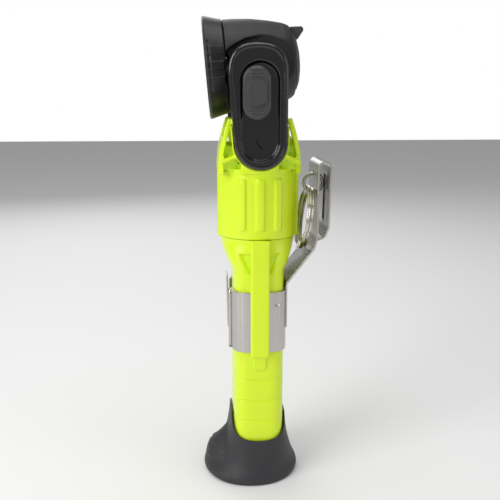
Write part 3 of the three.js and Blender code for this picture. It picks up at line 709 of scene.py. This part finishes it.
def make_slider():
    """Stadium loops drawn in to the middle; the height is a soft crown with the pad and the ribs added."""
    turn = np.linspace(0, 2 * np.pi, 260, endpoint=False)
    inward = np.concatenate((np.linspace(0, 0.13, 10), np.linspace(0.15, 0.995, 90)))[:, None]
    half, centre_y, centre_z, straight = 6.8, -2.4, 203.0, 5.85
    edge_z = np.where(np.sin(turn) > 0, straight, -straight)
    scale = 1 - inward
    y = half * scale * np.cos(turn)
    z = edge_z * scale + half * scale * np.sin(turn)
    crown = 2.9 * (1 - np.clip(1 - inward / 0.13, 0, 1) ** 2.2) ** (1 / 2.2) + 0.35 * (1 - (y / half) ** 2)
    pad = 1.0 * (1 - smooth_step(np.hypot(y, z), 5.75, 6.35))
    hollow = -0.25 * np.exp(-(np.hypot(y, z) / 4.4) ** 4)
    ribs = sum(np.exp(-((np.abs(z) - level) / 0.38) ** 4) for level in (7.5, 9.1, 10.7))
    ribs = 0.42 * ribs * (1 - smooth_step(np.abs(y), 3.0, 3.7))
    x = ARM_OUT - 2.1 + 0.4 + crown + pad + hollow + ribs
    rings = np.stack(np.broadcast_arrays(x, centre_y + y, centre_z + z), -1)
    under = rings[0].copy()
    under[:, 0] = ARM_OUT - 2.1
    return skin_object("switch_slider_pad", np.concatenate((under[None], rings)))


GREY = moulded("dark_grey_plastic", (0.052, 0.052, 0.055), 0.42, drift=0.2, grain=1800, height=0.18,
               scuffs=0.1)
finish_piece(make_slider(), "slider", GREY, "grey_plastic", "switch_slider")

# ---------- head housing ----------
# The head's body, moulded in black with a fine sparked texture. Its round hood overhangs two flat cheeks, and
# a hub on each cheek turns on the arm's hollow pin.
TEXTURED = moulded("sparked_black_plastic", (0.0085, 0.0088, 0.0096), 0.46, drift=0.3, grain=1500,
                   height=0.75, scuffs=0.04,
                   Specular_IOR_Level=0.5)
finish_piece(remoulded("head_shell", "head_housing", 0.42, 4), "head", TEXTURED, "satin_black",
             "head_housing")

# ---------- bezel ----------
# The black ring that screws on over the lens, slightly wider at the face, with grip blocks and open notches
# in two groups on its sides.
BEAM_DROP, BEAM_HEIGHT = math.radians(4.7), 5.4


def on_beam(points):
    """Points in mm about the beam axis (x, up, forward) placed in the row frame, the axis dropped a
    little."""
    x, up, ahead = points[..., 0], points[..., 1] + BEAM_HEIGHT, points[..., 2]
    y = -ahead * math.cos(BEAM_DROP) - up * math.sin(BEAM_DROP)
    z = -ahead * math.sin(BEAM_DROP) + up * math.cos(BEAM_DROP)
    return np.stack((x, PIVOT_Y + y, PIVOT_Z + z), -1)


WELD_DISTANCE = 0.000005


def turned_about_beam(name, profile, count=180, bulge=None, step=0.35):
    """A closed profile of (radius, forward) carried round the beam axis; bulge(angle, forward) adds to
    the radius."""
    profile = np.asarray(profile, float)
    if np.abs(profile[0] - profile[-1]).sum() > 0 and profile[0, 0] > 0:
        profile = np.concatenate((profile, profile[:1]))
    length = np.concatenate(([0], np.cumsum(np.linalg.norm(np.diff(profile, axis=0), axis=1))))
    even = np.unique(np.concatenate((np.arange(0, length[-1], step), length)))
    radius, ahead = (np.interp(even, length, profile[:, k])[:, None] for k in (0, 1))
    angle = np.linspace(0, 2 * np.pi, count, endpoint=False)
    swell = bulge(angle, ahead, radius) if bulge else 0
    r = radius + swell
    rings = on_beam(np.stack(np.broadcast_arrays(r * np.cos(angle), r * np.sin(angle), ahead), -1))
    shape = skin_object(name, rings, False, False)
    merged = shape.modifiers.new("closed", "WELD")
    merged.merge_threshold = WELD_DISTANCE
    return shape


def bezel_grip(angle, ahead, radius):
    """Raised blocks in two side groups, with a notch in the rim in front of each."""
    outer = smooth_step(radius, 22.5, 22.8)
    side = np.abs((angle + np.pi / 2) % np.pi - np.pi / 2)
    blocks = sum(1 - smooth_step(np.abs(side - level), 0.075, 0.092) for level in (0, 0.30))
    blocks = blocks * smooth_step(ahead, 15.0, 15.4) * smooth_step(-ahead, -21.6, -21.2)
    teeth = sum(1 - smooth_step(np.abs(side - level), 0.04, 0.055) for level in (0, 0.15, 0.30, 0.45))
    teeth = teeth * smooth_step(ahead, 21.3, 21.7)
    return outer * (0.75 * blocks - 0.8 * teeth)


BEZEL_PROFILE = [(20.9, 14.4), (22.55, 14.4), (22.75, 14.5), (22.9, 14.75), (23.1, 16), (24.7, 22.0),
                 (24.85, 22.5), (24.8, 23.0),
                 (24.55, 23.45), (24.2, 23.6), (21.4, 23.6), (20.9, 23.5), (20.0, 22.3), (19.9,
                                                                                          21.8), (20.9,
                                                                                                  21.75)]
SATIN = moulded("satin_black_plastic", (0.0075, 0.0078, 0.0085), 0.38, drift=0.2, grain=1500, height=0.3,
                scuffs=0.05)
finish_piece(turned_about_beam("bezel_ring", BEZEL_PROFILE, 720, bezel_grip), "head", SATIN, "satin_black",
             "bezel")

# ---------- lens, reflector and LED ----------
# A clear moulded lens sits behind the bezel's lip on a gasket. Behind it a metallised bowl gathers the
# light of one LED under a small dome.
lens_paint = bpy.data.materials.new("clear_lens")
lens_paint.use_nodes = True
lens_shader = lens_paint.node_tree.nodes["Principled BSDF"]
lens_shader.inputs["Transmission Weight"].default_value = 1.0
lens_shader.inputs["IOR"].default_value = 1.49
lens_shader.inputs["Roughness"].default_value = 0.02
lens_shader.inputs["Base Color"].default_value = (0.96, 0.98, 1.0, 1)
finish_piece(turned_about_beam("lens_disc", [(0.0, 19.5), (20.3, 19.5), (20.5, 19.7), (20.5, 21.3), (20.3,
    21.5), (0.0, 21.5)]),
             "head", lens_paint, "lens", "lens")
MIRROR = steel_paint("metallised_bowl", (0.9, 0.9, 0.9), 0.08, (1, 1, 1))
depth = np.linspace(0, 1, 40)
bowl = np.stack((4.2 + 13.3 * np.sqrt(depth * 0.985), 1.8 + 16.3 * depth), -1)
outside = np.stack((bowl[:, 0] + 0.35 * (1 - depth), bowl[:, 1] - 0.9), -1)[::-1]
finish_piece(turned_about_beam("reflector_bowl", np.concatenate((bowl, outside))), "head", MIRROR,
             "mirror_coat", "reflector")
dome_turn = np.linspace(0, np.pi / 2, 12)
dome = [(0.0, -0.4), (2.6, -0.4), (2.6, 0.1), *zip(1.9 * np.cos(dome_turn), 0.1 + 1.8 * np.sin(dome_turn))]
PHOSPHOR = moulded("led_phosphor", (0.85, 0.75, 0.15), 0.2, drift=0.1, Coat_Weight=1.0)
finish_piece(turned_about_beam("led_dome", dome, 48), "head", PHOSPHOR, "lens", "led")

# ---------- rear cap ----------
# A dark grey dome that closes the back of the head, with a thumb tab moulded on top that helps to tip the
# head.


def make_cap_tab():
    """The thumb tab: a rounded wedge outline in the beam's plane, carried across its width with eased
    ends."""
    outline = bent_path([(19.9, 9.2), (22.7, 10.2), (26.1, 14.4), (25.2, 16.2), (19.6, 16.4)],
                        (1.5, 1.4, 0.9), step=0.3)
    outline = np.concatenate((outline, np.linspace(outline[-1], outline[0], 14)[1:-1]))
    middle = outline.mean(0)
    across = np.array([-4.5, -4.46, -4.3, -4.0, -3.0, 0, 3.0, 4.0, 4.3, 4.46, 4.5])
    share = np.array([0.78, 0.88, 0.95, 0.985, 1, 1, 1, 0.985, 0.95, 0.88, 0.78])
    loops = middle + (outline - middle)[None] * share[:, None, None]
    points = np.stack((np.broadcast_to(across[:, None], loops.shape[:2]), loops[..., 1], -loops[..., 0]), -1)
    return skin_object("rear_cap_tab", on_beam(points)[:, ::-1])


CAP_PROFILE = [(0.0, -22.9), (4, -22.85), (8, -22.5), (11.5, -21.7), (13.8, -20.7), (14.3, -20.2),
               (14.4, -19.9), (14.2, -19.7),
               (12.3, -19.7), (12.3, -15.0), (0.0, -15.0)]
finish_piece(turned_about_beam("rear_cap_dome", CAP_PROFILE), "head", GREY, "grey_plastic", "rear_cap")
finish_piece(make_cap_tab(), "head", GREY, "grey_plastic")

# ---------- inside pieces and fasteners ----------
# Pieces whose CAD shape is already right keep it: cells, contacts, boards, seals, pins and screws.
GREEN_BOARD = moulded("green_board", (0.02, 0.12, 0.05), 0.35, drift=0.2, grain=600, height=0.1)
BRASS = steel_paint("brass_contacts", (0.72, 0.52, 0.2), 0.3, (1, 1, 1))
ALUMINIUM = steel_paint("machined_aluminium", (0.75, 0.75, 0.77), 0.35, (1, 0.1, 1))
CELL_WRAP = moulded("cell_wrap", (0.2, 0.22, 0.25), 0.3, drift=0.1, Metallic=0.5)
FINISHES = {
    "rubber": (RUBBER, ("neck_seal", "lens_gasket")),
    "satin_black": (SATIN, ("battery_cassette", "arm_liner_right", "arm_liner_left")),
    "cell_wrap": (CELL_WRAP, ("cell_1", "cell_2", "cell_3", "cell_4")),
    "brass": (BRASS, ("contact_plate", "contact_bridge")),
    "board": (GREEN_BOARD, ("contact_board", "switch_board", "led_board", "driver_board")),
    "aluminium": (ALUMINIUM, ("heat_sink",)),
    "steel": (STEEL, ("contact_spring_left", "contact_spring_right", "slider_magnet", "pivot_pin_right",
        "pivot_pin_left",
                      "arm_screw_right_lower", "arm_screw_right_upper", "arm_screw_left_lower", "arm_screw_left_upper",
                      "detent_spring", "detent_ball")),
}
for slot_name, (paint, names) in FINISHES.items():
    for name in names:
        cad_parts[name].data.materials.clear()
        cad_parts[name].data.materials.append(paint)
